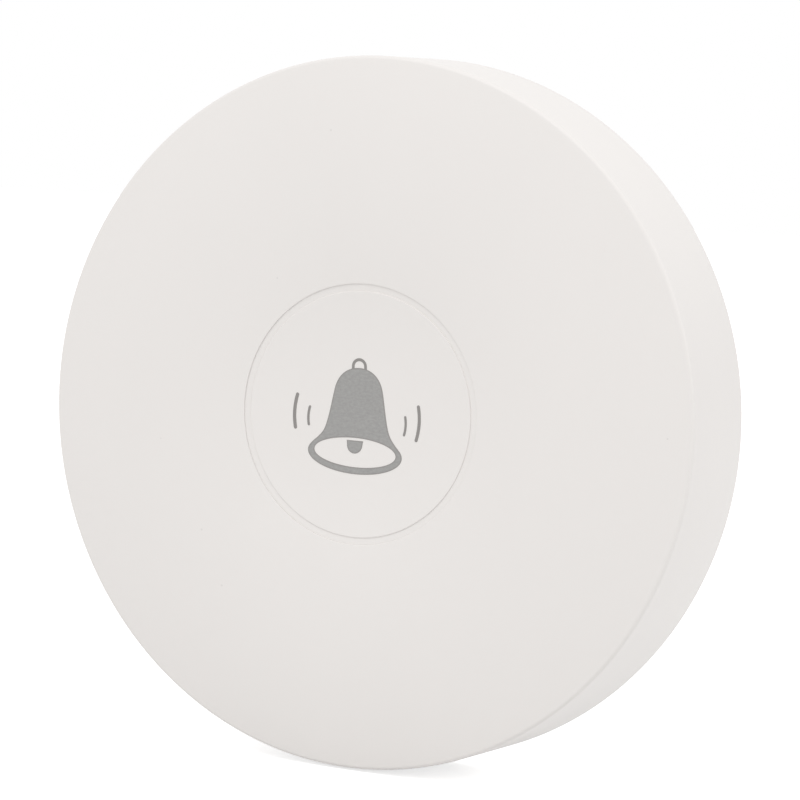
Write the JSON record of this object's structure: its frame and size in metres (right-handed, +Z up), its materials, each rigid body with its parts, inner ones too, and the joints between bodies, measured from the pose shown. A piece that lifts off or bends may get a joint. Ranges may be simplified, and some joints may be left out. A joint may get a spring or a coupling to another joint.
{
  "type": "wireless doorbell push",
  "caption": "Round wall-mounted wireless doorbell push with a swelling dished face, a flush round button that presses in and a twist-lock wall plate.",
  "frame": {"origin": "centre of the wall plate's rear face, which lies on the wall", "axes": "+Z up, +Y into the wall, the face and its button look along -Y, +X to the right as seen from the front"},
  "size_m": [0.08, 0.0153, 0.08],
  "materials": {
    "white_plastic": "satin",
    "board": "satin",
    "steel": "satin",
    "black_plastic": "matte",
    "rubber": "matte",
    "tinned_metal": "satin",
    "resistor_ceramic": "satin",
    "capacitor_ceramic": "satin",
    "copper_wire": "gloss",
    "cell_jacket": "gloss",
    "nickel_plate": "satin"
  },
  "bodies": {
    "wall_plate": {"base_plate": "white_plastic"},
    "case": {"front_shell": "white_plastic", "circuit_board": "board", "board_screws": "steel", "switch_base": "black_plastic", "switch_cover": "steel", "switch_dome": "steel", "switch_terminals": "tinned_metal", "encoder_chip": "black_plastic", "encoder_leads": "tinned_metal", "rf_resonator": "steel", "rf_transistor": "black_plastic", "transistor_leads": "tinned_metal", "chip_resistors": "resistor_ceramic", "chip_capacitors": "capacitor_ceramic", "antenna_coil": "copper_wire", "battery_cell": "cell_jacket", "positive_contact": "nickel_plate", "negative_contact": "nickel_plate", "contact_spring": "nickel_plate"},
    "button": {"button_cap": "white_plastic"},
    "plunger": {"switch_plunger": "rubber"}
  },
  "joints": [
    {"name": "case_twist", "type": "hinge", "parent": "wall_plate", "child": "case", "pos_m": [0, 0, 0], "axis": [0, -1, 0], "range_deg": [0, 18]},
    {"name": "button_press", "type": "slide", "parent": "case", "child": "button", "axis": [0, 1, 0], "range_m": [0, 0.0008], "stiffness_N_per_m": 1000},
    {"name": "plunger_press", "type": "slide", "parent": "case", "child": "plunger", "axis": [0, 1, 0], "range_m": [0, 0.0008], "deforming": ["switch_dome"]}
  ],
  "couplings": [
    {"joint": "plunger_press", "follows": "button_press", "ratio": 1}
  ]
}
